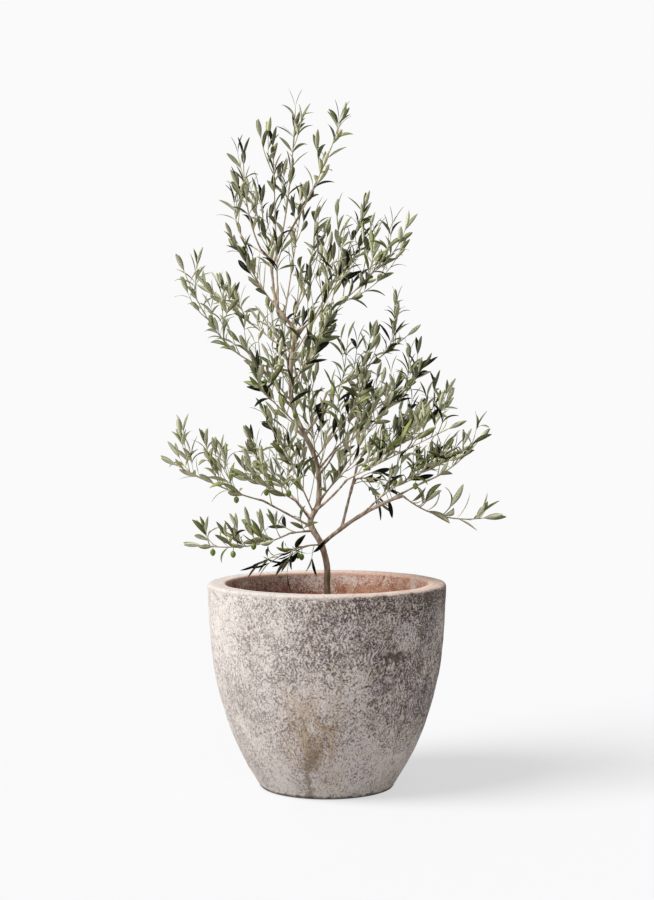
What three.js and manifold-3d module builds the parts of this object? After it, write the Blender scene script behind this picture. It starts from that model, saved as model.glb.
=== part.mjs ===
// A young olive tree in a tall round terracotta pot.
// Millimetres, +Z up. The origin is the centre of the pot's flat underside, +X is to the right of
// a person who stands in front of the pot, and +Y points away from them.
//
// The trunk is one curve, each bough is one bent and tapering tube, and each mass of foliage is
// grown by a seeded rule from one stem. A mass keeps to its own space, which is the room nearer to
// the middle of its own shoots than to any other mass's.

import * as THREE from 'three';
import { mergeVertices } from 'three/addons/utils/BufferGeometryUtils.js';
import Module from 'manifold-3d';

const wasm = await Module();
wasm.setup();

// The pot: its outside swells from the foot to the rim by one formula.
const POT_HEIGHT = 368;
const POT_FOOT_RADIUS = 119;
const POT_SWELL = 84;
const POT_SWELL_POWER = 2.8;
const POT_FLARE = 12;
const POT_LIP_HEIGHT = 8;
const POT_LIP_SQUARENESS = 0.55;
const POT_WALL = 33;
const POT_FLOOR = 34;
const POT_SIDES = 36;
const POT_RINGS = 9;
const POT_RING_CROWDING = 1.3;
const LIP_STEPS = 6;

// The soil fills the pot to 80 mm under its rim.
const SOIL_TOP = 288;
const SOIL_RINGS = 3;

// The gap between two pieces that meet.
const SEAT = 0.3;

// The trunk: the points it passes through, from the soil to its top fork, and its thickness.
const TRUNK_POINTS = [
  [1, 0, SOIL_TOP + SEAT], [0, 0, 355], [0, 0, 395], [-10, 0, 435], [-30, 5, 475], [-15, 5, 515],
  [-20, 10, 585], [-60, 5, 680], [-65, 5, 755], [-60, 0, 820], [-90, 0, 865], [-100, 0, 935],
];
const TRUNK_FOOT_RADIUS = 6.6;
const TRUNK_TOP_RADIUS = 2.3;
const ROOT_FLARE = 3.4;
const ROOT_FLARE_HEIGHT = 13;
const TRUNK_SIDES = 8;
const TRUNK_STEPS = 26;

// The boughs. Each starts on the axis of its parent at a share of the parent's length, ends at its
// tip, tapers from the first to the second radius, and sags in the middle by "sag".
const BOUGHS = [
  { name: 'low_right', on: 'trunk', share: 0.273, tip: [135, -30, 525], radii: [3.9, 2.7], sag: -10 },
  { name: 'right_tip', on: 'low_right', share: 0.72, tip: [175, -20, 550], radii: [2.2, 1.8], sag: 0 },
  { name: 'right_low', on: 'low_right', share: 0.5, tip: [95, -60, 525], radii: [2.2, 1.8], sag: 0 },
  { name: 'right_rise', on: 'low_right', share: 0.25, tip: [55, 40, 575], radii: [2.8, 2.0], sag: 0 },
  { name: 'right_twig', on: 'right_rise', share: 0.62, tip: [52, 0, 553], radii: [1.7, 1.6], sag: 0 },
  { name: 'right_mid', on: 'trunk', share: 0.418, tip: [35, -60, 555], radii: [2.7, 1.9], sag: 4 },
  { name: 'right_inner', on: 'trunk', share: 0.518, tip: [15, -20, 605], radii: [2.5, 1.8], sag: 4 },
  { name: 'right_high', on: 'trunk', share: 0.591, tip: [0, 40, 710], radii: [2.4, 1.8], sag: 8 },
  { name: 'upper_right', on: 'trunk', share: 0.818, tip: [-10, -30, 855], radii: [2.4, 1.8], sag: 6 },
  { name: 'upper_inner', on: 'trunk', share: 0.8, tip: [-25, 40, 845], radii: [2.1, 1.7], sag: 0 },
  { name: 'crown_mid', on: 'trunk', share: 1, tip: [-85, 15, 975], radii: [2.2, 1.8], sag: 0 },
  { name: 'crown_left', on: 'crown_mid', share: 0.2, tip: [-118, -20, 965], radii: [1.9, 1.7], sag: 0 },
  { name: 'crown_right', on: 'crown_mid', share: 0.6, tip: [-55, -20, 1015],
    radii: [1.8, 1.7], sag: 0 },
  { name: 'crown_far_left', on: 'crown_left', share: 0.55, tip: [-145, 25, 980],
    radii: [1.7, 1.6], sag: 0 },
  { name: 'upper_left', on: 'trunk', share: 0.718, tip: [-125, -30, 760], radii: [2.1, 1.7], sag: 0 },
  { name: 'inner_left', on: 'trunk', share: 0.374, tip: [-55, -32, 515], radii: [2.2, 1.8], sag: 0 },
  { name: 'mid_left', on: 'trunk', share: 0.345, tip: [-115, -10, 515], radii: [2.3, 1.8], sag: 0 },
  { name: 'low_left', on: 'trunk', share: 0.33, tip: [-66, -26, 458], radii: [2.2, 1.7], sag: 0 },
  { name: 'back_left', on: 'trunk', share: 0.382, tip: [-60, 60, 515], radii: [2.4, 1.8], sag: 0 },
  { name: 'back_right', on: 'trunk', share: 0.527, tip: [15, 75, 605], radii: [2.4, 1.8], sag: 0 },
];
const BOUGH_SIDES = 5;
const BOUGH_STEP = 32;

// The masses of foliage. Each stem goes on from the tip of its bough, or starts on the trunk at a
// share of its length. "reach" is the length of its side shoots, "shoots" their count, four where
// none is given, "fruit" the count of olives, and "bow" moves the middle of the stem. "rise" is how
// far its shoots turn up, one where none is given, and below zero they hang.
const MASSES = [
  { name: 'drooping_right', on: 'low_right', tip: [274, -60, 487], bow: [0, 0, -48], shoots: 3,
    reach: 45 },
  { name: 'right_tip', on: 'right_tip', tip: [268, -30, 620], bow: [5, 0, -12], shoots: 3, reach: 60 },
  { name: 'right_low', on: 'right_low', tip: [208, -120, 590], bow: [0, 0, 5], shoots: 5,
    reach: 100, fruit: 2 },
  { name: 'right_rise', on: 'right_rise', tip: [208, 90, 675], bow: [15, 0, -35], reach: 88 },
  { name: 'hanging_right', on: 'right_twig', tip: [104, -8, 552], rise: -0.5, reach: 60 },
  { name: 'right_mid', on: 'right_mid', tip: [208, -115, 645], bow: [0, 0, -12], shoots: 5, reach: 92 },
  { name: 'right_inner', on: 'right_inner', tip: [168, -40, 750], bow: [10, 0, -28], reach: 85 },
  { name: 'right_high', on: 'right_high', tip: [145, 50, 812], bow: [15, 0, -20], reach: 100 },
  { name: 'mid_front', on: 'trunk', share: 0.55, tip: [65, -110, 705], shoots: 5, reach: 95 },
  { name: 'low_middle', on: 'trunk', share: 0.455, tip: [78, -70, 622], rise: 0.7, reach: 85 },
  { name: 'mid_back', on: 'trunk', share: 0.44, tip: [100, 80, 670], shoots: 3, reach: 90 },
  { name: 'low_centre', on: 'trunk', share: 0.405, tip: [-95, -60, 655], reach: 100 },
  { name: 'centre_back', on: 'trunk', share: 0.47, tip: [-35, 100, 725], shoots: 3, reach: 85 },
  { name: 'centre_right', on: 'trunk', share: 0.68, tip: [2, -60, 835], bow: [0, 0, -8], reach: 95 },
  { name: 'upper_right', on: 'upper_right', tip: [92, -60, 935], bow: [0, 0, -32], shoots: 5,
    reach: 140 },
  { name: 'upper_inner', on: 'upper_inner', tip: [62, 50, 1030], reach: 95 },
  { name: 'upper_centre', on: 'trunk', share: 0.75, tip: [25, -100, 915], bow: [0, 0, -5], reach: 110,
    fruit: 1 },
  { name: 'upper_front', on: 'trunk', share: 0.9, tip: [-95, -60, 1140], reach: 80 },
  { name: 'upper_back', on: 'trunk', share: 0.87, tip: [-45, 95, 1070], shoots: 3, reach: 75 },
  { name: 'centre_top', on: 'trunk', share: 0.835, tip: [-18, 80, 1000], reach: 90 },
  { name: 'crown_left', on: 'crown_left', tip: [-148, -40, 1125], bow: [-6, 0, 0], shoots: 3, reach: 62 },
  { name: 'leader', on: 'crown_mid', tip: [-57, 10, 1222], shoots: 2, reach: 55 },
  { name: 'crown_right', on: 'crown_right', tip: [25, -30, 1190], bow: [5, 0, 0], shoots: 2, reach: 62 },
  { name: 'crown_far_left', on: 'crown_far_left', tip: [-168, 30, 1050], bow: [-8, 0, 0], shoots: 3,
    reach: 60 },
  { name: 'high_left', on: 'trunk', share: 0.9, tip: [-158, 20, 975], bow: [-8, 0, -8], shoots: 3,
    reach: 75 },
  { name: 'upper_left', on: 'upper_left', tip: [-252, -50, 922], bow: [-10, 0, -20], reach: 85 },
  { name: 'left_high', on: 'trunk', share: 0.76, tip: [-210, 60, 890], bow: [-5, 0, 0], shoots: 3,
    reach: 90 },
  { name: 'left_mid', on: 'trunk', share: 0.65, tip: [-155, -10, 797], reach: 90, fruit: 2 },
  { name: 'inner_left', on: 'inner_left', tip: [-135, -90, 555], reach: 90, fruit: 2 },
  { name: 'mid_left', on: 'mid_left', tip: [-268, -20, 578], bow: [0, 0, -15], shoots: 5, reach: 90,
    fruit: 1 },
  { name: 'low_left', on: 'low_left', tip: [-218, -80, 440], bow: [0, 0, -25], reach: 50, fruit: 3 },
  { name: 'low_front', on: 'trunk', share: 0.27, tip: [-100, -70, 410], bow: [0, 0, 18], rise: -0.5,
    reach: 50, fruit: 2 },
  { name: 'back_left', on: 'back_left', tip: [-140, 130, 595], shoots: 3, reach: 85 },
  { name: 'front_mid', on: 'trunk', share: 0.6, tip: [-115, -120, 715], reach: 90, fruit: 1 },
  { name: 'back_mid', on: 'trunk', share: 0.64, tip: [-85, 130, 845], shoots: 3, reach: 90 },
  { name: 'back_right', on: 'back_right', tip: [115, 150, 700], reach: 100 },
  { name: 'crown_back', on: 'trunk', share: 0.915, tip: [-122, 92, 1055], shoots: 3, reach: 75 },
].map((row) => ({ bow: [0, 0, 0], shoots: 4, fruit: 0, rise: 1, ...row }));
const STEM_RADII = [1.6, 1];
const STEM_STEP = 50;
const TWIG_SIDES = 3;
const STEM_FOLLOW = 0.35;

// The rule by which a stem bears its shoots.
const FIRST_SHOOT = 0.1;
const LAST_SHOOT = 0.96;
const GOLDEN_ANGLE = 2.39996;
const SHOOT_SPREAD = 0.8;
const SHOOT_RISE = 0.5;
const SHOOT_LIFT = 1.5;
const SHOOT_TAPER = 0.35;
const SHOOT_LENGTHS = [0.75, 1.25];
const SHOOT_JITTER = 0.5;
const SHOOT_SEED = 1000;
const SHOOT_RADII = [1.4, 1];
const SHOOT_STEP = 70;
const SHORTEST_SHOOT = 25;
const PROBES = 12;

// The rule by which a shoot bears its leaves, in opposite pairs. Each leaf stands for three or four
// real ones, so it is larger than life.
const LEAF_LENGTH = 64;
const LEAF_WIDTH = 16;
const LEAF_THICKNESS = 2;
const LEAF_SINK = 0.8;
const LEAF_WIDEST = 0.45;
const LEAF_LIFT = 0.2;
const LEAF_ANGLES = [0.66, 1.05];
const LEAF_SIZES = [0.8, 1.1];
const LEAF_JITTER = 0.9;
const LEAF_SEED = 3000;
const PAIR_STEP = 70;
const FIRST_PAIR = 44;
const FIRST_STEM_PAIR = 0.75;
const END_LEAF = 0.75;

// The olives hang from the shoots on short stalks.
const OLIVE_RADIUS = 4.8;
const OLIVE_LENGTH = 12;
const STALK_LENGTH = 9;
const STALK_RADIUS = 0.9;
const OLIVE_SINK = 1;
const FRUIT_PLACE = 0.4;

// Room kept between masses, and between foliage and the limbs, and how far the middle of a mass's
// space lies above its stem.
const SPACE_RISE = 28;
const ROOM_BETWEEN_MASSES = 4;
const ROOM_AT_LIMBS = 3;
const STEM_SAMPLES = 24;
const TRUNK_SAMPLES = 120;
const BOUGH_SAMPLES = 30;

const UP = new THREE.Vector3(0, 0, 1);
const MATERIALS = {
  pot: new THREE.MeshStandardMaterial({ color: '#a99d91', roughness: 0.92, metalness: 0 }),
  soil: new THREE.MeshStandardMaterial({ color: '#453528', roughness: 1, metalness: 0 }),
  bark: new THREE.MeshStandardMaterial({ color: '#9a8877', roughness: 0.85, metalness: 0 }),
  foliage: new THREE.MeshStandardMaterial({ color: '#717a5a', roughness: 0.6, metalness: 0 }),
};

function vector(list) {
  return new THREE.Vector3(...list);
}

function between(range, share) {
  return range[0] + (range[1] - range[0]) * share;
}

// A seeded generator of numbers from 0 to 1, so that every build grows the same tree.
function seededNumbers(seed) {
  let state = seed;
  return () => {
    state = (state + 0x6d2b79f5) >>> 0;
    let mixed = Math.imul(state ^ (state >>> 15), state | 1);
    mixed ^= mixed + Math.imul(mixed ^ (mixed >>> 7), mixed | 61);
    return ((mixed ^ (mixed >>> 14)) >>> 0) / 4294967296;
  };
}

// Solids

function toManifold(geometry) {
  const bare = new THREE.BufferGeometry();
  bare.setAttribute('position', geometry.getAttribute('position'));
  bare.setIndex(geometry.getIndex());
  const merged = mergeVertices(bare, 1e-4);
  return new wasm.Manifold(new wasm.Mesh({
    numProp: 3,
    vertProperties: new Float32Array(merged.getAttribute('position').array),
    triVerts: new Uint32Array(merged.getIndex().array),
  }));
}

// The largest body of a solid: loose scraps and sealed hollows are dropped.
function largestBody(solid) {
  return solid.decompose().reduce((a, b) => (b.volume() > a.volume() ? b : a));
}

function toGeometry(solid) {
  const mesh = solid.getMesh();
  const geometry = new THREE.BufferGeometry();
  geometry.setAttribute('position', new THREE.BufferAttribute(new Float32Array(mesh.vertProperties), 3));
  geometry.setIndex(new THREE.BufferAttribute(new Uint32Array(mesh.triVerts), 1));
  geometry.computeVertexNormals();
  return geometry;
}

// A cylinder bent along a limb's curve up to the share "keeps", with the limb's own radius at each
// place and "room" added all round. Its rings keep one side towards limb.toward, so that it doesn't
// twist.
function limbSolid(limb, sides, steps, room = 0, keeps = 1) {
  const geometry = new THREE.CylinderGeometry(1, 1, 1, sides, steps);
  const place = geometry.getAttribute('position');
  for (let i = 0; i < place.count; i += 1) {
    const share = Math.min(Math.max(place.getY(i) + 0.5, 0), 1);
    const end = Number(share === 1) - Number(share === 0);
    const heading = limb.headingAt(share * keeps);
    const side = limb.toward.clone().addScaledVector(heading, -limb.toward.dot(heading)).normalize();
    const across = side.clone().cross(heading);
    const radius = limb.radiusAt(share) + room;
    const point = limb.pointAt(share * keeps).clone()
      .addScaledVector(heading, end * room)
      .addScaledVector(side, place.getX(i) * radius)
      .addScaledVector(across, place.getZ(i) * radius);
    place.setXYZ(i, point.x, point.y, point.z);
  }
  return toManifold(geometry);
}

// A direction square to the line from a to b.
function squareTo(a, b) {
  const line = b.clone().sub(a).normalize();
  const guide = Math.abs(line.z) > 0.9 ? new THREE.Vector3(1, 0, 0) : UP;
  return line.cross(guide).normalize();
}

function latheUpright(profile, sides) {
  return new THREE.LatheGeometry(profile, sides).rotateX(Math.PI / 2);
}

// Pot and soil

function potRadius(height) {
  const share = height / (POT_HEIGHT - POT_LIP_HEIGHT);
  return POT_FOOT_RADIUS + POT_SWELL * (1 - (1 - share) ** POT_SWELL_POWER) + POT_FLARE * share;
}

// A sine or cosine changed so that a half circle becomes a flat lip with round edges.
function squared(value) {
  return Math.sign(value) * Math.abs(value) ** POT_LIP_SQUARENESS;
}

function potProfile() {
  const shoulder = POT_HEIGHT - POT_LIP_HEIGHT;
  const profile = [new THREE.Vector2(0, 0)];
  for (let i = 0; i <= POT_RINGS; i += 1) {
    const height = shoulder * (i / POT_RINGS) ** POT_RING_CROWDING;
    profile.push(new THREE.Vector2(potRadius(height), height));
  }
  const middle = potRadius(shoulder) - POT_WALL / 2;
  for (let i = 1; i <= LIP_STEPS; i += 1) {
    const angle = Math.PI * (i / LIP_STEPS);
    profile.push(new THREE.Vector2(
      middle + (POT_WALL / 2) * squared(Math.cos(angle)),
      shoulder + POT_LIP_HEIGHT * squared(Math.sin(angle)),
    ));
  }
  for (let i = SOIL_RINGS; i >= 0; i -= 1) {
    const height = POT_FLOOR + (SOIL_TOP - POT_FLOOR) * (i / SOIL_RINGS);
    profile.push(new THREE.Vector2(potRadius(height) - POT_WALL, height));
  }
  profile.push(new THREE.Vector2(0, POT_FLOOR));
  return profile;
}

function soilProfile() {
  const profile = [new THREE.Vector2(0, POT_FLOOR + SEAT)];
  for (let i = 0; i <= SOIL_RINGS; i += 1) {
    const height = POT_FLOOR + (SOIL_TOP - POT_FLOOR) * (i / SOIL_RINGS);
    const lifted = i === 0 ? height + SEAT : height;
    profile.push(new THREE.Vector2(potRadius(height) - POT_WALL - 2 * SEAT, lifted));
  }
  profile.push(new THREE.Vector2(0, SOIL_TOP));
  return profile;
}

// Limbs: each has its curve and its radius at each share of the way.

function makeTrunk() {
  const points = TRUNK_POINTS.map(vector);
  const curve = new THREE.CatmullRomCurve3(points, false, 'catmullrom', 0.5);
  const pointAt = (share) => curve.getPoint(share);
  return {
    pointAt,
    headingAt: (share) => (share === 0 ? UP.clone() : curve.getTangent(share)),
    radiusAt: (share) => {
      const height = pointAt(share).z - points[0].z;
      const flare = ROOT_FLARE * Math.exp(-height / ROOT_FLARE_HEIGHT);
      return TRUNK_FOOT_RADIUS + (TRUNK_TOP_RADIUS - TRUNK_FOOT_RADIUS) * share + flare;
    },
    toward: new THREE.Vector3(1, 0, 0),
    sides: TRUNK_SIDES,
    steps: TRUNK_STEPS,
  };
}

function bezierLimb(start, control, end, radii, sides, step) {
  const curve = new THREE.QuadraticBezierCurve3(start, control, end);
  const first = control.clone().sub(start);
  const last = end.clone().sub(control);
  return {
    end,
    length: start.distanceTo(end),
    pointAt: (share) => curve.getPoint(share),
    headingAt: (share) => first.clone().multiplyScalar(1 - share).addScaledVector(last, share).normalize(),
    radiusAt: (share) => between(radii, share),
    toward: squareTo(start, end),
    sides,
    steps: Math.max(2, Math.round(start.distanceTo(end) / step)),
  };
}

function makeBough(row, parent) {
  const start = parent.pointAt(row.share);
  const end = vector(row.tip);
  const control = start.clone().lerp(end, 0.5);
  control.z -= 2 * row.sag;
  return bezierLimb(start, control, end, row.radii, BOUGH_SIDES, BOUGH_STEP);
}

// The parent, larger all round by the seat, is cut away from what grows out of it.
function cutClear(solid, parent) {
  return largestBody(solid.subtract(limbSolid(parent, parent.sides, parent.steps, SEAT)));
}

// Stems

function makeStem(row, limbs) {
  const end = vector(row.tip);
  const parent = limbs[row.on];
  let heading;
  let start;
  if (row.on === 'trunk') {
    start = parent.pointAt(row.share);
    heading = end.clone().sub(start).normalize();
  } else {
    heading = parent.headingAt(1);
    start = parent.end.clone().addScaledVector(heading, SEAT);
  }
  const onward = start.clone().addScaledVector(heading, start.distanceTo(end) * STEM_FOLLOW);
  const bowed = start.clone().lerp(end, 0.5).addScaledVector(vector(row.bow), 2);
  return bezierLimb(start, onward.lerp(bowed, 0.5), end, STEM_RADII, TWIG_SIDES, STEM_STEP);
}

// Space: each mass's space lies around the middle of its shoots, which is a little above its stem,
// or below it where they hang. A point is clear for a mass where it is nearer to that mass's middle
// than to any other's, with room to spare, and it stands off from every limb and other stem.

function samples(limb, count) {
  return Array.from({ length: count + 1 }, (_, i) => limb.pointAt(i / count));
}

function makeSpace(stems, limbs) {
  const stemPoints = stems.map((stem) => samples(stem, STEM_SAMPLES));
  const middles = stemPoints.map((points, i) => (
    points.map((point) => point.clone().addScaledVector(UP, SPACE_RISE * MASSES[i].rise))
  ));
  const limbPoints = Object.values(limbs).flatMap((limb) => {
    const count = limb === limbs.trunk ? TRUNK_SAMPLES : BOUGH_SAMPLES;
    return samples(limb, count).map((point, i) => ({ point, radius: limb.radiusAt(i / count) }));
  });
  const away = (points, point) => Math.min(...points.map((other) => other.distanceTo(point)));
  return (index, point, body = 0) => {
    const own = away(middles[index], point) + ROOM_BETWEEN_MASSES + body;
    const room = STEM_RADII[0] + ROOM_AT_LIMBS + body;
    const alone = stems.every((_, i) => (
      i === index || (away(middles[i], point) > own && away(stemPoints[i], point) > room)
    ));
    return alone && limbPoints.every(({ point: other, radius }) => (
      other.distanceTo(point) > radius + ROOM_AT_LIMBS + body
    ));
  };
}

// Growth

function sideways(heading, turn) {
  const side = heading.clone().cross(UP).normalize();
  const over = side.clone().cross(heading);
  return side.multiplyScalar(Math.cos(turn)).addScaledVector(over, Math.sin(turn));
}

function leaning(heading, outward, angle) {
  return heading.clone().multiplyScalar(Math.cos(angle)).addScaledVector(outward, Math.sin(angle));
}

// The share of a shoot that stays in its own space.
function clearShare(shoot, index, isClear) {
  let share = 0;
  for (let probe = 1; probe <= PROBES; probe += 1) {
    const ahead = probe / PROBES;
    if (probe > 1 && !isClear(index, shoot.pointAt(ahead))) break;
    share = ahead;
  }
  return share;
}

// A limb's point on the straight stretches that its solid is made of.
function onChord(limb, share, keeps = 1) {
  const way = (share / keeps) * limb.steps;
  const step = Math.min(Math.floor(way), limb.steps - 1);
  const from = limb.pointAt((keeps * step) / limb.steps);
  const to = limb.pointAt((keeps * (step + 1)) / limb.steps);
  return from.lerp(to, way - step);
}

function growShoots(row, stem, index, isClear) {
  const draw = seededNumbers(SHOOT_SEED + index);
  const shoots = [];
  for (let i = 0; i < row.shoots; i += 1) {
    const share = FIRST_SHOOT + (LAST_SHOOT - FIRST_SHOOT) * ((i + 0.5) / row.shoots);
    const along = stem.headingAt(share);
    const outward = sideways(along, i * GOLDEN_ANGLE + index + SHOOT_JITTER * draw());
    const heading = leaning(along, outward, SHOOT_SPREAD);
    heading.addScaledVector(UP, SHOOT_RISE * row.rise).normalize();
    const length = row.reach * (1 - SHOOT_TAPER * share) * between(SHOOT_LENGTHS, draw());
    const start = onChord(stem, share);
    const control = start.clone().addScaledVector(heading, length / 2);
    const risen = heading.clone().addScaledVector(UP, SHOOT_LIFT * row.rise).normalize();
    const end = control.clone().addScaledVector(risen, length / 2);
    const shoot = bezierLimb(start, control, end, SHOOT_RADII, TWIG_SIDES, SHOOT_STEP);
    shoot.grown = length;
    shoot.keeps = clearShare(shoot, index, isClear);
    if (shoot.keeps * length >= SHORTEST_SHOOT) shoots.push(shoot);
  }
  return shoots;
}

// A leaf: four faces, folded up along its midrib and widest a little before its middle, with its
// root sunk in the shoot.
function leafSolid(root, heading, across, size) {
  const half = (LEAF_WIDTH / 2) * (size / LEAF_LENGTH);
  const thick = across.clone().cross(heading);
  const middle = root.clone().addScaledVector(heading, size * LEAF_WIDEST);
  const corners = [
    root.clone().addScaledVector(heading, -LEAF_SINK),
    root.clone().addScaledVector(heading, size),
    middle.clone().addScaledVector(across, half).addScaledVector(thick, LEAF_THICKNESS),
    middle.clone().addScaledVector(across, -half).addScaledVector(thick, LEAF_THICKNESS),
  ];
  return wasm.Manifold.hull(corners.map((corner) => corner.toArray()));
}

function addLeaf(leaves, root, heading, across, size, index, isClear) {
  const half = (LEAF_WIDTH / 2) * (size / LEAF_LENGTH);
  const middle = root.clone().addScaledVector(heading, size * LEAF_WIDEST);
  const tests = [
    root.clone().addScaledVector(heading, size),
    middle.clone().addScaledVector(across, half),
    middle.clone().addScaledVector(across, -half),
  ];
  if (tests.every((point) => isClear(index, point))) {
    leaves.push(leafSolid(root, heading, across, size));
  }
}

function growLeaves(shoot, length, keeps, first, draw, index, isClear) {
  const leaves = [];
  let pair = 0;
  for (let way = first; way <= length * keeps; way += PAIR_STEP) {
    const share = Math.min(way / length, keeps);
    const root = onChord(shoot, share, keeps);
    const along = shoot.headingAt(share);
    const size = LEAF_LENGTH * between(LEAF_SIZES, draw());
    for (const half of [0, 1]) {
      const turn = (pair / 2 + half) * Math.PI + LEAF_JITTER * (draw() - 0.5);
      const angle = between(LEAF_ANGLES, draw());
      const heading = leaning(along, sideways(along, turn), angle);
      heading.addScaledVector(UP, LEAF_LIFT).normalize();
      const across = heading.clone().cross(along).normalize();
      addLeaf(leaves, root, heading, across, size, index, isClear);
    }
    pair += 1;
  }
  const along = shoot.headingAt(keeps);
  addLeaf(leaves, shoot.pointAt(keeps), along, sideways(along, 0), LEAF_LENGTH * END_LEAF, index, isClear);
  return leaves;
}

function oliveSolids(root) {
  const foot = root.clone().addScaledVector(UP, -STALK_LENGTH);
  const radii = [STALK_RADIUS, STALK_RADIUS];
  const stalk = bezierLimb(root, root.clone().lerp(foot, 0.5), foot, radii, TWIG_SIDES, STALK_LENGTH);
  const olive = new THREE.IcosahedronGeometry(OLIVE_RADIUS);
  olive.scale(1, 1, OLIVE_LENGTH / 2 / OLIVE_RADIUS);
  olive.translate(foot.x, foot.y, foot.z - OLIVE_LENGTH / 2 + OLIVE_SINK);
  return [limbSolid(stalk, stalk.sides, 1), toManifold(olive)];
}

function growFruit(row, shoots, index, isClear) {
  const fruit = [];
  for (const shoot of shoots) {
    const root = onChord(shoot, FRUIT_PLACE * shoot.keeps, shoot.keeps);
    const middle = root.clone().addScaledVector(UP, -STALK_LENGTH - OLIVE_LENGTH / 2);
    if (fruit.length < 2 * row.fruit && isClear(index, middle, OLIVE_LENGTH / 2)) {
      fruit.push(...oliveSolids(root));
    }
  }
  return fruit;
}

function growMass(row, stem, index, limbs, isClear) {
  const shoots = growShoots(row, stem, index, isClear);
  const draw = seededNumbers(LEAF_SEED + index);
  const pieces = [cutClear(limbSolid(stem, stem.sides, stem.steps), limbs[row.on])];
  for (const shoot of shoots) {
    pieces.push(limbSolid(shoot, shoot.sides, shoot.steps, 0, shoot.keeps));
    pieces.push(...growLeaves(shoot, shoot.grown, shoot.keeps, FIRST_PAIR, draw, index, isClear));
  }
  pieces.push(...growLeaves(stem, stem.length, 1, stem.length * FIRST_STEM_PAIR, draw, index, isClear));
  pieces.push(...growFruit(row, shoots, index, isClear));
  return largestBody(wasm.Manifold.union(pieces));
}

// The tree in its pot

const group = new THREE.Group();

function addMesh(name, geometry, material) {
  const mesh = new THREE.Mesh(geometry, material);
  mesh.name = name;
  group.add(mesh);
}

const limbs = { trunk: makeTrunk() };
for (const row of BOUGHS) limbs[row.name] = makeBough(row, limbs[row.on]);
const stems = MASSES.map((row) => makeStem(row, limbs));
const isClear = makeSpace(stems, limbs);

addMesh('pot', toGeometry(toManifold(latheUpright(potProfile(), POT_SIDES))), MATERIALS.pot);
addMesh('soil', toGeometry(toManifold(latheUpright(soilProfile(), POT_SIDES))), MATERIALS.soil);
addMesh('trunk', toGeometry(limbSolid(limbs.trunk, TRUNK_SIDES, TRUNK_STEPS)), MATERIALS.bark);

for (const row of BOUGHS) {
  const limb = limbs[row.name];
  const solid = cutClear(limbSolid(limb, limb.sides, limb.steps), limbs[row.on]);
  addMesh(`bough_${row.name}`, toGeometry(solid), MATERIALS.bark);
}

MASSES.forEach((row, index) => {
  const solid = growMass(row, stems[index], index, limbs, isClear);
  addMesh(`foliage_${row.name}`, toGeometry(solid), MATERIALS.foliage);
});

export default group;
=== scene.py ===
# The looks of a potted olive tree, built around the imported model.
# The tree is grown in millimetres by the rule that its solids follow, and carried on to finer
# twigs and leaves of real size. Every mesh is made in metres.

import math
from dataclasses import dataclass

import bpy
import numpy as np
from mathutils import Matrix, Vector, noise


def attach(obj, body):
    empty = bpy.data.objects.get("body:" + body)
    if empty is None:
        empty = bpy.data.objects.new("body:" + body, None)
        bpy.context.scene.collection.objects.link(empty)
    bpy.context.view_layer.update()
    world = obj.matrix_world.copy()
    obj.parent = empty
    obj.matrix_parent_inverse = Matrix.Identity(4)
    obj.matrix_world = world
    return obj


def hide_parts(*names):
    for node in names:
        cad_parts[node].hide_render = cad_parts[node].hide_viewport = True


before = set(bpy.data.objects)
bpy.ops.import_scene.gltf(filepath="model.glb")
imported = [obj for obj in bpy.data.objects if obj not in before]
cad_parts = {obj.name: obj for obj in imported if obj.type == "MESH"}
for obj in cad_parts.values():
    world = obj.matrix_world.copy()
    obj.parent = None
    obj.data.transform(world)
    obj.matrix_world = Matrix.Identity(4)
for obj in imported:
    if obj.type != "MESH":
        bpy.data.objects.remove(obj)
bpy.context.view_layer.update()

# Growth: the sizes of the limbs and masses, in millimetres

SOIL_TOP = 288
SEAT = 0.3
TRUNK_POINTS = [
    [1, 0, SOIL_TOP + SEAT], [0, 0, 355], [0, 0, 395], [-10, 0, 435], [-30, 5, 475], [-15, 5, 515],
    [-20, 10, 585], [-60, 5, 680], [-65, 5, 755], [-60, 0, 820], [-90, 0, 865], [-100, 0, 935],
]
TRUNK_FOOT_RADIUS = 6.6
TRUNK_TOP_RADIUS = 2.3
ROOT_FLARE = 3.4
ROOT_FLARE_HEIGHT = 13

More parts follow.
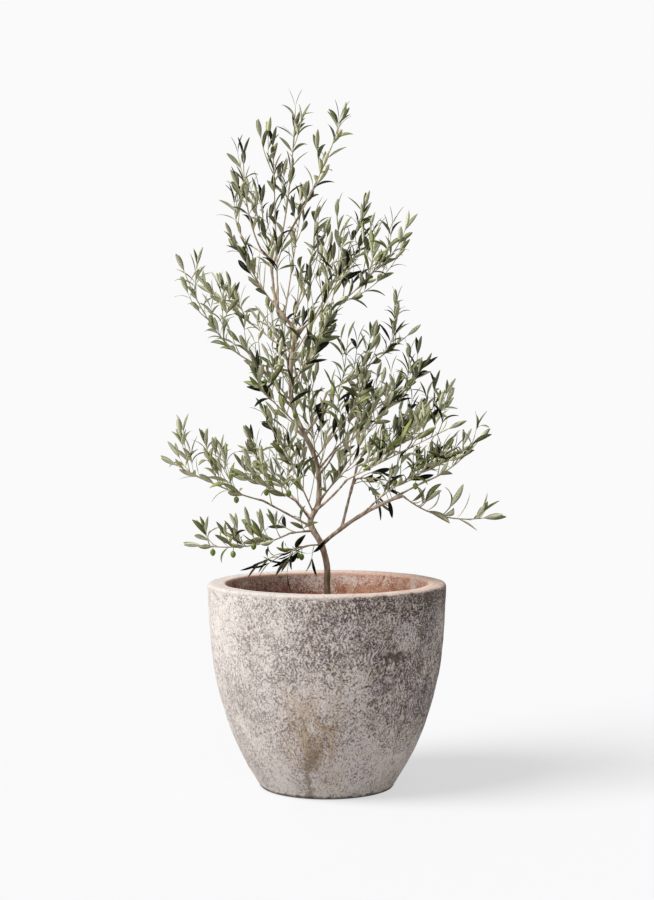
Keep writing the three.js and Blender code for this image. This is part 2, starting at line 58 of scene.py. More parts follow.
# name, what it grows on, share of the way along that, tip, radii, sag
BOUGHS = [
    ("low_right", "trunk", 0.273, (135, -30, 525), (3.9, 2.7), -10),
    ("right_tip", "low_right", 0.72, (175, -20, 550), (2.2, 1.8), 0),
    ("right_low", "low_right", 0.5, (95, -60, 525), (2.2, 1.8), 0),
    ("right_rise", "low_right", 0.25, (55, 40, 575), (2.8, 2.0), 0),
    ("right_twig", "right_rise", 0.62, (52, 0, 553), (1.7, 1.6), 0),
    ("right_mid", "trunk", 0.418, (35, -60, 555), (2.7, 1.9), 4),
    ("right_inner", "trunk", 0.518, (15, -20, 605), (2.5, 1.8), 4),
    ("right_high", "trunk", 0.591, (0, 40, 710), (2.4, 1.8), 8),
    ("upper_right", "trunk", 0.818, (-10, -30, 855), (2.4, 1.8), 6),
    ("upper_inner", "trunk", 0.8, (-25, 40, 845), (2.1, 1.7), 0),
    ("crown_mid", "trunk", 1, (-85, 15, 975), (2.2, 1.8), 0),
    ("crown_left", "crown_mid", 0.2, (-118, -20, 965), (1.9, 1.7), 0),
    ("crown_right", "crown_mid", 0.6, (-55, -20, 1015), (1.8, 1.7), 0),
    ("crown_far_left", "crown_left", 0.55, (-145, 25, 980), (1.7, 1.6), 0),
    ("upper_left", "trunk", 0.718, (-125, -30, 760), (2.1, 1.7), 0),
    ("inner_left", "trunk", 0.374, (-55, -32, 515), (2.2, 1.8), 0),
    ("mid_left", "trunk", 0.345, (-115, -10, 515), (2.3, 1.8), 0),
    ("low_left", "trunk", 0.33, (-66, -26, 458), (2.2, 1.7), 0),
    ("back_left", "trunk", 0.382, (-60, 60, 515), (2.4, 1.8), 0),
    ("back_right", "trunk", 0.527, (15, 75, 605), (2.4, 1.8), 0),
]


@dataclass
class Mass:
    """A mass of foliage, as the solids have it, on a bough or a share of the way up the trunk. "reach"
    is the length of its shoots, which turn down where "rise" is under zero. From "fine" on, the
    values are for scene.py alone: how closely finer shoots stand, the leaves' size and how far they
    turn up, the share of the stem without them, their one tint, and the share of all tints dealt."""

    name: str
    on: str | float
    tip: tuple
    reach: float
    bow: tuple = (0, 0, 0)
    shoots: int = 4
    rise: float = 1
    fruit: int = 0
    fine: float = 1
    leaf: float = 1
    lift: float = 0.15
    bare: float = 0.25
    tint: float | None = None
    shade: float = 1


MASSES = [
    Mass("drooping_right", "low_right", (274, -60, 487), 45, bow=(0, 0, -48), shoots=3, leaf=1.2,
         lift=0.7, bare=0.12),
    Mass("right_tip", "right_tip", (268, -30, 620), 60, bow=(5, 0, -12), shoots=3, fine=0.3),
    Mass("right_low", "right_low", (208, -120, 590), 100, bow=(0, 0, 5), shoots=5, fine=2.6, fruit=2),
    Mass("right_rise", "right_rise", (208, 90, 675), 88, bow=(15, 0, -35), fine=2),
    # Leaves hanging under the right bough, away from the light, get mostly the dark tint: painted shade
    Mass("hanging_right", "right_twig", (104, -8, 552), 60, rise=-0.5, fine=2.5, leaf=1.1, tint=0.8),
    Mass("right_mid", "right_mid", (208, -115, 645), 92, bow=(0, 0, -12), shoots=5, fine=2),
    Mass("right_inner", "right_inner", (168, -40, 750), 85, bow=(10, 0, -28), fine=1.5),
    Mass("right_high", "right_high", (145, 50, 812), 100, bow=(15, 0, -20), fine=0.8),
    Mass("mid_front", 0.55, (65, -110, 705), 95, shoots=5),
    Mass("low_middle", 0.455, (78, -70, 622), 85, rise=0.7, fine=1.6, bare=0.1),
    Mass("mid_back", 0.44, (100, 80, 670), 90, shoots=3, fine=1.3),
    Mass("low_centre", 0.405, (-95, -60, 655), 100, fine=1.8),
    Mass("centre_back", 0.47, (-35, 100, 725), 85, shoots=3, fine=1.3),
    Mass("centre_right", 0.68, (2, -60, 835), 95, bow=(0, 0, -8), fine=3),
    Mass("upper_right", "upper_right", (92, -60, 935), 140, bow=(0, 0, -32), shoots=5),
    Mass("upper_inner", "upper_inner", (62, 50, 1030), 95, fine=0.5),
    Mass("upper_centre", 0.75, (25, -100, 915), 110, bow=(0, 0, -5), fine=1.6, fruit=1),
    Mass("upper_front", 0.9, (-95, -60, 1140), 80, fine=0.2),
    Mass("upper_back", 0.87, (-45, 95, 1070), 75, shoots=3, fine=0.8),
    Mass("centre_top", 0.835, (-18, 80, 1000), 90, fine=0.8),
    Mass("crown_left", "crown_left", (-148, -40, 1125), 62, bow=(-6, 0, 0), shoots=3, fine=0.1),
    Mass("leader", "crown_mid", (-57, 10, 1222), 55, shoots=2, fine=0.3, leaf=1.05),
    Mass("crown_right", "crown_right", (25, -30, 1190), 62, bow=(5, 0, 0), shoots=2, fine=0.2,
         leaf=1.05, bare=0.2),
    Mass("crown_far_left", "crown_far_left", (-168, 30, 1050), 60, bow=(-8, 0, 0), shoots=3, fine=0,
         leaf=1.1),
    Mass("high_left", 0.9, (-158, 20, 975), 75, bow=(-8, 0, -8), shoots=3, fine=1.8),
    # The left masses, where the light falls, are dealt only the paler tints: painted light
    Mass("upper_left", "upper_left", (-252, -50, 922), 85, bow=(-10, 0, -20), fine=0.4, shade=0.36),
    Mass("left_high", 0.76, (-210, 60, 890), 90, bow=(-5, 0, 0), shoots=3, shade=0.36),
    Mass("left_mid", 0.65, (-155, -10, 797), 90, shade=0.36, fruit=2),
    Mass("inner_left", "inner_left", (-135, -90, 555), 90, fine=1.5, shade=0.36, fruit=2),
    Mass("mid_left", "mid_left", (-268, -20, 578), 90, bow=(0, 0, -15), shoots=5, fine=0.2, shade=0.36,
         fruit=1),
    Mass("low_left", "low_left", (-218, -80, 440), 50, bow=(0, 0, -25), fine=2.5, shade=0.36, bare=0.2,
         fruit=3),
    Mass("low_front", 0.27, (-100, -70, 410), 50, bow=(0, 0, 18), rise=-0.5, fine=1.5, tint=0.8,
         lift=0.9, fruit=2),
    Mass("back_left", "back_left", (-140, 130, 595), 85, shoots=3, fine=0.7),
    Mass("front_mid", 0.6, (-115, -120, 715), 90, fine=2.2, fruit=1),
    Mass("back_mid", 0.64, (-85, 130, 845), 90, shoots=3),
    Mass("back_right", "back_right", (115, 150, 700), 100),
    Mass("crown_back", 0.915, (-122, 92, 1055), 75, shoots=3, fine=0.8),
]
STEM_RADII = (1.6, 0.9)
STEM_FOLLOW = 0.35

# The rule by which a stem bears its shoots
FIRST_SHOOT = 0.1
LAST_SHOOT = 0.96
GOLDEN_ANGLE = 2.39996
SHOOT_SPREAD = 0.8
SHOOT_RISE = 0.5
SHOOT_LIFT = 1.5
SHOOT_TAPER = 0.35
SHOOT_LENGTHS = (0.75, 1.25)
SHOOT_JITTER = 0.5
SHOOT_SEED = 1000
SHOOT_RADII = (1.1, 0.6)
SHORTEST_SHOOT = 25
PROBES = 12

# Finer shoots on the stems and boughs, and side twigs on the shoots
FINE_SEED = 5000
FINE_STEP = 30
FINE_REACH = 0.65
BOUGH_SEED = 6000
BOUGH_SHARES = (0.15, 0.95)
BOUGH_STEP = 25
BOUGH_REACH = 70
SIDE_SEED = 7000
SIDE_STEP = 66
SIDE_FIRST = 0.6
SIDE_TURN = 6
SIDE_SPREAD = 0.6
SIDE_REACH = 0.62
TWIG_RADII = (0.8, 0.5)

# The rule by which a shoot bears its leaves, in opposite pairs
LEAF_LENGTH = 44
LEAF_WIDTH = 9.2
LEAF_SEED = 9000
LEAF_SIZES = (0.8, 1.12)
LEAF_ANGLES = (0.55, 1.3)
LEAF_CURLS = (0.3, 1.7)
LEAF_ROLL = 0.9
TINT_JITTER = 0.4
LEAF_JITTER = 0.9
PAIR_STEPS = (32, 24)
FIRST_PAIR = 20
LAST_PAIR_GAP = 4
YOUNG_LEAF = 0.76
YOUNG_POWER = 4
LEAF_FOLDS = (-0.1, 0.4)

# The pair of young leaves that ends a shoot
END_ANGLES = (0.25, 0.45)
END_SIZES = (0.76, 0.91)
END_CURL = 0.3
END_FOLD = 0.2

# The olives, which hang from the shoots
FRUIT_PLACE = 0.4
STALK_LENGTH = 9
OLIVE_RADIUS = 4.8
OLIVE_LENGTH = 12

# The room that a mass keeps to itself
SPACE_RISE = 28
ROOM_BETWEEN_MASSES = 1
ROOM_AT_LIMBS = 2
STEM_SPOTS = 25
LIMB_SPOTS = 61

HEADING_STEP = 1e-4
UP = np.array([0.0, 0.0, 1.0])
MASK = 0xFFFFFFFF


def unit(vector):
    return vector / np.linalg.norm(vector)


def between(pair, share):
    return pair[0] + (pair[1] - pair[0]) * share


def seeded_numbers(seed):
    """The generator that the solids use, which gives numbers from 0 to 1."""
    state = seed

    def draw():
        nonlocal state
        state = (state + 0x6D2B79F5) & MASK
        mixed = ((state ^ (state >> 15)) * (state | 1)) & MASK
        mixed ^= (mixed + (mixed ^ (mixed >> 7)) * (mixed | 61)) & MASK
        return (mixed ^ (mixed >> 14)) / (MASK + 1)

    return draw


class Trunk:
    """A Catmull-Rom curve through the trunk's points, with its radius at each share of the way."""

    def __init__(self, points):
        points = np.array(points, float)
        first = 2 * points[0] - points[1]
        last = 2 * points[-1] - points[-2]
        self.points = np.vstack([first, points, last])
        self.stretches = len(points) - 1

    def at(self, share):
        way = share * self.stretches
        step = min(int(way), self.stretches - 1)
        t = way - step
        a, b, c, d = self.points[step:step + 4]
        leave, arrive = (c - a) / 2, (d - b) / 2
        bend = 3 * (c - b) - 2 * leave - arrive
        turn = 2 * (b - c) + leave + arrive
        return b + t * (leave + t * (bend + t * turn))

    def heading(self, share):
        if share == 0:
            return UP
        return unit(self.at(min(share + HEADING_STEP, 1)) - self.at(share - HEADING_STEP))

    def radius(self, share):
        height = self.at(share)[2] - TRUNK_POINTS[0][2]
        flare = ROOT_FLARE * math.exp(-height / ROOT_FLARE_HEIGHT)
        return between((TRUNK_FOOT_RADIUS, TRUNK_TOP_RADIUS), share) + flare


class Limb:
    """A bent and tapering limb: a bough, a stem, a shoot or a twig, with the share that it keeps."""

    def __init__(self, start, control, end, radii):
        self.start, self.control, self.end, self.radii = start, control, end, radii
        self.length = np.linalg.norm(end - start)
        self.keeps = 1

    def at(self, share):
        rest = 1 - share
        return rest * rest * self.start + 2 * rest * share * self.control + share * share * self.end

    def heading(self, share):
        return unit((self.control - self.start) * (1 - share) + (self.end - self.control) * share)

    def radius(self, share):
        return between(self.radii, share / self.keeps)


def make_bough(row, limbs):
    _, parent, share, tip, radii, sag = row
    start = limbs[parent].at(share)
    end = np.array(tip, float)
    return Limb(start, (start + end) / 2 - 2 * sag * UP, end, radii)


def make_stem(mass, limbs):
    end = np.array(mass.tip, float)
    if isinstance(mass.on, str):
        bough = limbs[mass.on]
        heading = bough.heading(1)
        start = bough.end + heading * SEAT
    else:
        start = limbs["trunk"].at(mass.on)
        heading = unit(end - start)
    onward = start + heading * np.linalg.norm(end - start) * STEM_FOLLOW
    bowed = (start + end) / 2 + 2 * np.array(mass.bow)
    return Limb(start, (onward + bowed) / 2, end, STEM_RADII)


class Space:
    """The masses' spaces: each lies a little above its stem, or below it where the shoots hang. A
    point is clear for the mass it is nearest to, if it also stands off from limbs and other stems."""

    def __init__(self, stems, limbs):
        shares = np.linspace(0, 1, STEM_SPOTS)
        self.stems = np.array([[stem.at(share) for share in shares] for stem in stems])
        rises = np.array([mass.rise for mass in MASSES])
        self.middles = self.stems + SPACE_RISE * rises[:, None, None] * UP
        shares = np.linspace(0, 1, LIMB_SPOTS)
        self.limbs = np.array([limb.at(share) for limb in limbs for share in shares])
        self.radii = np.array([limb.radius(share) for limb in limbs for share in shares])

    def is_clear(self, index, point, body=0):
        away = np.linalg.norm(self.middles - point, axis=2).min(axis=1)
        own = away[index] + ROOM_BETWEEN_MASSES + body
        away[index] = np.inf
        if away.min() <= own:
            return False
        touch = np.linalg.norm(self.stems - point, axis=2).min(axis=1)
        touch[index] = np.inf
        if touch.min() - STEM_RADII[0] <= ROOM_AT_LIMBS + body:
            return False
        return (np.linalg.norm(self.limbs - point, axis=1) - self.radii).min() > ROOM_AT_LIMBS + body

    def clear_share(self, shoot, index):
        """The share of a shoot that stays in its mass's space."""
        probe = 1
        while probe < PROBES and self.is_clear(index, shoot.at((probe + 1) / PROBES)):
            probe += 1
        return probe / PROBES


def sideways(heading, turn):
    side = unit(np.cross(heading, UP))
    over = np.cross(side, heading)
    return side * math.cos(turn) + over * math.sin(turn)


def leaning(heading, outward, angle):
    return heading * math.cos(angle) + outward * math.sin(angle)


def grow_shoot(parent, share, turn, spread, length, radii, index, space):
    rise = MASSES[index].rise * UP
    along = parent.heading(share)
    heading = unit(leaning(along, sideways(along, turn), spread) + SHOOT_RISE * rise)
    start = parent.at(share)
    control = start + heading * length / 2
    end = control + unit(heading + SHOOT_LIFT * rise) * length / 2
    shoot = Limb(start, control, end, radii)
    shoot.length = length
    shoot.keeps = space.clear_share(shoot, index)
    return shoot


def grow_shoots(stem, index, space, count, seed, reach, shares=(FIRST_SHOOT, LAST_SHOOT)):
    """The shoots along a stem. With SHOOT_SEED and the mass's own count they are the solids'."""
    draw = seeded_numbers(seed + index)
    shoots = []
    for i in range(count):
        share = between(shares, (i + 0.5) / count)
        turn = i * GOLDEN_ANGLE + index + SHOOT_JITTER * draw() + seed - SHOOT_SEED
        length = reach * (1 - SHOOT_TAPER * share) * between(SHOOT_LENGTHS, draw())
        shoot = grow_shoot(stem, share, turn, SHOOT_SPREAD, length, SHOOT_RADII, index, space)
        if shoot.keeps * length >= SHORTEST_SHOOT:
            shoots.append(shoot)
    return shoots


def grow_sides(shoots, index, space):
    """Side twigs on the shoots."""
    draw = seeded_numbers(SIDE_SEED + index)
    twigs = []
    for shoot in shoots:
        kept = shoot.keeps * shoot.length
        count = int(kept / SIDE_STEP)
        for i in range(count):
            share = shoot.keeps * (i + SIDE_FIRST) / (count + SIDE_FIRST)
            length = kept * SIDE_REACH * between(SHOOT_LENGTHS, draw())
            turn = i * GOLDEN_ANGLE + SIDE_TURN * draw()
            twig = grow_shoot(shoot, share, turn, SIDE_SPREAD, length, TWIG_RADII, index, space)
            if twig.keeps * length >= SHORTEST_SHOOT:
                twigs.append(twig)
    return twigs


class Leaf:
    """A leaf that stands off its shoot at an angle, turned up by its lift and rolled about itself."""

    def __init__(self, root, along, outward, angle, size, curl, tint, fold, roll, lift):
        self.root, self.size, self.curl, self.tint, self.fold = root, size, curl, tint, fold
        chord = unit(leaning(along, outward, angle) + lift * UP)
        flat = unit(np.cross(chord, along))
        self.across = leaning(flat, np.cross(flat, chord), roll)
        self.heading = leaning(chord, np.cross(self.across, chord), curl / 2)
        self.upper = np.cross(self.across, self.heading)

    def at(self, share):
        """The midrib: it bends away from the shoot towards its tip."""
        angle = self.curl * share
        ahead = math.sin(angle) / self.curl
        back = (1 - math.cos(angle)) / self.curl
        return self.root + self.size * (self.heading * ahead - self.upper * back)


def add_leaf(leaves, leaf, index, space):
    half = leaf.across * leaf.size * LEAF_WIDTH / LEAF_LENGTH / 2
    middle = leaf.at(0.5)
    if all(space.is_clear(index, spot) for spot in (leaf.at(1), middle + half, middle - half)):
        leaves.append(leaf)


def grow_leaves(shoot, first, index, space, draw):
    """Pairs of leaves along a shoot, and a pair of young ones at its end."""
    leaves = []
    mass = MASSES[index]
    dealt = mass.shade * draw()
    tint = dealt if mass.tint is None else mass.tint
    longest = LEAF_LENGTH * mass.leaf
    kept = shoot.length * shoot.keeps
    way = first
    pair = 0
    while way < kept - LAST_PAIR_GAP:
        share = way / kept
        root = shoot.at(share * shoot.keeps)
        along = shoot.heading(share * shoot.keeps)
        size = longest * between((1, YOUNG_LEAF), share ** YOUNG_POWER)
        for half in (0, 1):
            turn = (pair / 2 + half) * math.pi + LEAF_JITTER * (draw() - 0.5)
            leaf = Leaf(
                root, along, sideways(along, turn),
                angle=between(LEAF_ANGLES, draw()),
                size=size * between(LEAF_SIZES, draw()),
                curl=between(LEAF_CURLS, draw()),
                tint=(tint + TINT_JITTER * (draw() - 0.5)) % 1,
                fold=between(LEAF_FOLDS, draw()),
                roll=LEAF_ROLL * (draw() - 0.5),
                lift=mass.lift,
            )
            add_leaf(leaves, leaf, index, space)
        way += between(PAIR_STEPS, share)
        pair += 1
    root = shoot.at(shoot.keeps)
    along = shoot.heading(shoot.keeps)
    for turn in (tint, math.pi + tint):
        leaf = Leaf(
            root, along, sideways(along, turn),
            angle=between(END_ANGLES, draw()),
            size=longest * between(END_SIZES, draw()),
            curl=END_CURL, tint=tint, fold=END_FOLD, roll=0, lift=0,
        )
        add_leaf(leaves, leaf, index, space)
    return leaves


def grow_fruit(count, shoots, index, space):
    """Where the olives hang: the same places as on the solids."""
    roots = []
    for shoot in shoots:
        root = shoot.at(FRUIT_PLACE * shoot.keeps)
        middle = root - (STALK_LENGTH + OLIVE_LENGTH / 2) * UP
        if len(roots) < count and space.is_clear(index, middle, OLIVE_LENGTH / 2):
            roots.append(root)
    return roots


def grow_tree():
    limbs = {"trunk": Trunk(TRUNK_POINTS)}
    for row in BOUGHS:
        limbs[row[0]] = make_bough(row, limbs)
    stems = [make_stem(mass, limbs) for mass in MASSES]
    space = Space(stems, limbs.values())
    shoots, twigs, leaves, fruit_roots = [], [], [], []
    for index, mass in enumerate(MASSES):
        stem = stems[index]
        own = grow_shoots(stem, index, space, mass.shoots, SHOOT_SEED, mass.reach)
        count = round(mass.fine * stem.length / FINE_STEP)
        fine = grow_shoots(stem, index, space, count, FINE_SEED, mass.reach * FINE_REACH)
        if isinstance(mass.on, str):
            bough = limbs[mass.on]
            count = round(bough.length * (BOUGH_SHARES[1] - BOUGH_SHARES[0]) / BOUGH_STEP)
            fine += grow_shoots(bough, index, space, count, BOUGH_SEED, BOUGH_REACH, BOUGH_SHARES)
        sides = grow_sides(own, index, space)
        draw = seeded_numbers(LEAF_SEED + index)
        for shoot in own + fine + sides:
            leaves += grow_leaves(shoot, FIRST_PAIR, index, space, draw)
        leaves += grow_leaves(stem, mass.bare * stem.length, index, space, draw)
        fruit_roots += grow_fruit(mass.fruit, own, index, space)
        shoots += own + fine
        twigs += sides
    return limbs, stems, shoots, twigs, leaves, fruit_roots


# Meshes

MM = 0.001
FEWEST_STEPS = 3
TRUNK_STEPS = 160
LIMB_STEP = 5
LIMB_SIDES = 14
STUB_LENGTH = 16
STUB_STEP = 4
STEM_ROOT = 9
STEM_STEP = 10
STEM_SIDES = 8
SHOOT_STEP = 9
SHOOT_SIDES = 6


def add_object(name, data):
    made = bpy.data.objects.new(name, data)
    bpy.context.scene.collection.objects.link(made)
    return made


class Batch:
    """Points in millimetres and faces with the number of their material, for one joined mesh."""

    def __init__(self):
        self.points, self.faces, self.marks = [], [], []

    def add(self, points, faces, marks):
        first = len(self.points)
        self.points.extend(points)
        self.faces.extend([tuple(first + corner for corner in face) for face in faces])
        self.marks.extend(marks)

    def make(self, name, materials):
        mesh = bpy.data.meshes.new(name)
        mesh.from_pydata([tuple(MM * value for value in point) for point in self.points], [], self.faces)
        mesh.polygons.foreach_set("material_index", self.marks)
        mesh.polygons.foreach_set("use_smooth", [True] * len(self.faces))
        for material in materials:
            mesh.materials.append(material)
        return add_object(name, mesh)


def ring_faces(rings, sides):
    """The faces between rings of points, one ring after another."""
    faces = []
    for ring in range(rings - 1):
        low, high = ring * sides, (ring + 1) * sides
        for side in range(sides):
            ahead = (side + 1) % sides
            faces.append((low + side, low + ahead, high + ahead, high + side))
    return faces


def add_tube(batch, path, radii, sides, mark=0):
    """A closed tube along a path, whose rings follow it without twisting."""
    behind = [path[0]] + path[:-1]
    ahead = path[1:] + [path[-1]]
    headings = [unit(there - here) for here, there in zip(behind, ahead)]
    side = sideways(headings[0], 0)
    points = []
    for place, heading, radius in zip(path, headings, radii):
        side = unit(side - heading * (side @ heading))
        over = np.cross(heading, side)
        for corner in range(sides):
            turn = 2 * math.pi * corner / sides
            points.append(place + radius * (math.cos(turn) * side + math.sin(turn) * over))
    last = len(points) - sides
    faces = ring_faces(len(path), sides)
    faces += [tuple(reversed(range(sides))), tuple(range(last, last + sides))]
    batch.add(points, faces, [mark] * len(faces))


def steps_in(limb, step, share=1):
    """How many steps of about one length make up a share of a limb."""
    return max(FEWEST_STEPS, round(limb.length * share / step))


def add_limb(batch, limb, steps, sides, first=0, last=1, mark=0):
    """A stretch of a limb as a tube."""
    shares = [between((first, last), i / steps) for i in range(steps + 1)]
    radii = [limb.radius(share) for share in shares]
    add_tube(batch, [limb.at(share) for share in shares], radii, sides, mark)


# A leaf's outline, by shares of its length, and the numbers of its materials
LEAF_ROWS = (0, 0.08, 0.16, 0.26, 0.38, 0.5, 0.62, 0.74, 0.84, 0.93)
PETIOLE_SHARE = 0.07
PETIOLE_HALF = 0.5
LEAF_HALF_THICKNESS = 0.22
LEAF_POINTEDNESS = 0.95
UPPER_SIDE = 0
UNDER_SIDE = 1
STALK = 2


def leaf_half_width(share, width):
    if share <= PETIOLE_SHARE:
        return PETIOLE_HALF
    along = (share - PETIOLE_SHARE) / (1 - PETIOLE_SHARE)
    return PETIOLE_HALF + (width / 2 - PETIOLE_HALF) * math.sin(math.pi * along) ** LEAF_POINTEDNESS


def add_leaf_mesh(batch, leaf):
    """Each row of a leaf has its left edge, upper midrib, right edge and lower midrib."""
    points = []
    width = LEAF_WIDTH * leaf.size / LEAF_LENGTH
    for share in LEAF_ROWS:
        middle = leaf.at(share)
        angle = leaf.curl * share
        heading = leaf.heading * math.cos(angle) - leaf.upper * math.sin(angle)
        upper = np.cross(leaf.across, heading)
        half = leaf_half_width(share, width)
        edge = middle + upper * half * leaf.fold
        points += [edge + leaf.across * half, middle + upper * LEAF_HALF_THICKNESS,
                   edge - leaf.across * half, middle - upper * LEAF_HALF_THICKNESS]
    tip = len(points)
    points.append(leaf.at(1))
    last = tip - 4
    faces = ring_faces(len(LEAF_ROWS), 4)
    faces += [(last + corner, last + (corner + 1) % 4, tip) for corner in range(4)]
    faces.append((3, 2, 1, 0))
    blade = [UPPER_SIDE, UPPER_SIDE, UNDER_SIDE, UNDER_SIDE] * (len(LEAF_ROWS) - 1)
    batch.add(points, faces, [STALK] * 4 + blade + [STALK])


STALK_RADIUS = 0.7
STALK_SIDES = 6
STALK_BEND = 0.6
STALK_SEAT = 0.5
OLIVE_RINGS = 10
OLIVE_SIDES = 14
OLIVE_FULLNESS = 0.06
OLIVE_POINT = 0.6


def lathe(profile, sides, shift, turns_in=math.inf):
    """The points, faces and marks of a closed round body from a profile of radius and height, both
    ends on the axis. Faces past the ring "turns_in" take the second material."""
    points = []
    rings = profile[1:-1]
    for radius, height in rings:
        for side in range(sides):
            turn = 2 * math.pi * side / sides
            points.append(shift(np.array([radius * math.cos(turn), radius * math.sin(turn), height])))
    foot = len(points)
    last = foot - sides
    points += [shift(np.array([0, 0, end[1]])) for end in (profile[0], profile[-1])]
    faces = ring_faces(len(rings), sides)
    marks = [int(face // sides >= turns_in) for face in range(len(faces))]
    for side in range(sides):
        ahead = (side + 1) % sides
        faces += [(foot, ahead, side), (foot + 1, last + side, last + ahead)]
        marks += [0, int(turns_in < math.inf)]
    return points, faces, marks


def add_olive(fruit, stalks, root):
    """An olive on its stalk, a little fuller towards the stalk and pointed below."""
    foot = root - STALK_LENGTH * UP
    bend = (root + foot) / 2 + [STALK_BEND, 0, 0]
    add_tube(stalks, [root, bend, foot - STALK_SEAT * UP], [STALK_RADIUS] * 3, STALK_SIDES)
    profile = [(0, 0)]
    for angle in np.linspace(0, math.pi, OLIVE_RINGS + 1)[1:-1]:
        radius = OLIVE_RADIUS * math.sin(angle) * (1 + OLIVE_FULLNESS * math.cos(angle))
        profile.append((radius, -OLIVE_LENGTH / 2 * (1 - math.cos(angle))))
    profile.append((0, -OLIVE_LENGTH - OLIVE_POINT))
    fruit.add(*lathe(profile[::-1], OLIVE_SIDES, lambda spot: foot + spot))


# Materials

# Colours as six hex digits. Of two, the second shows where the noise that mixes them is higher.
OLIVE_SKIN = ("5c7629", "8aa046")
BROWN_TWIG = ("ad9581", "dac8b4")
GREEN_TWIG = ("a9a780", "d0cfab")
OLIVE_STALK = ("7f8655", "9aa06a")
LEAF_STALK = ("aeb085", "cccda6")
BARK = ("6f5a49", "dcc8b4")
BARK_PATCH = "a48d78"
BARK_PORE = "cdbba8"
LOW_BARK = ("4e4130", "a8946f")
SOIL = ("2b211a", "5c4838")
FLOOR_GREY = "868688"

# The pot's colours. Those of the rim go from its left to its right.
RIM_WASH = ("d2cac4", "d6c2b6")
RIM_WORN = ("b5a89f", "b98f7d")
RIM_INNER_EDGE = "dda486"
GREY_CLAY = ("5f5250", "6c5c54")
# Clay on the pot's left, where the light falls: painted light
PAINTED_LIGHT_CLAY = "90847e"
# Lighter clay low down, on the wall that turns down towards the foot: painted light
LOW_CLAY = "a39588"
WASH = ("f2e6e2", "f3e7dc")
# Wash on the pot's left, where the light falls: painted light
PAINTED_LIGHT_WASH = "e5dcd5"
STAIN = ("8d7355", "c8ad8e")
STAIN_RUN = "86705b"
RUST = "5c4c42"
DARK_PATCH = "4b3a31"
# A dark line along the foot, where the pot meets the floor: painted shadow
FOOT_SHADOW = "453b36"
BROWN_CLAY = ("855748", "b08273")
ORANGE_CLAY = ("a86c4c", "d0a084")
INNER_WASH = "efe0d9"

# Leaf tints: name, share of the shoots, and the colours of the upper and under side
LEAF_TINTS = [
    ("grey", 0.36, ("747a4e", "9a9f72"), ("cccba8", "e6e5c8")),
    ("olive", 0.27, ("3d4223", "6b6f3e"), ("b3b18c", "d6d4b2")),
    ("dark", 0.27, ("0c1005", "1a1f0c"), ("64654c", "8c8d72")),
    ("young", 0.1, ("858c4e", "a0a866"), ("c5c594", "e2e1ba")),
]


def colour(digits):
    """The linear values that a shader takes for a colour of six hex digits."""
    values = []
    for i in (0, 2, 4):
        value = int(digits[i:i + 2], 16) / 255
        values.append(value / 12.92 if value < 0.04045 else ((value + 0.055) / 1.055) ** 2.4)
    return values + [1]


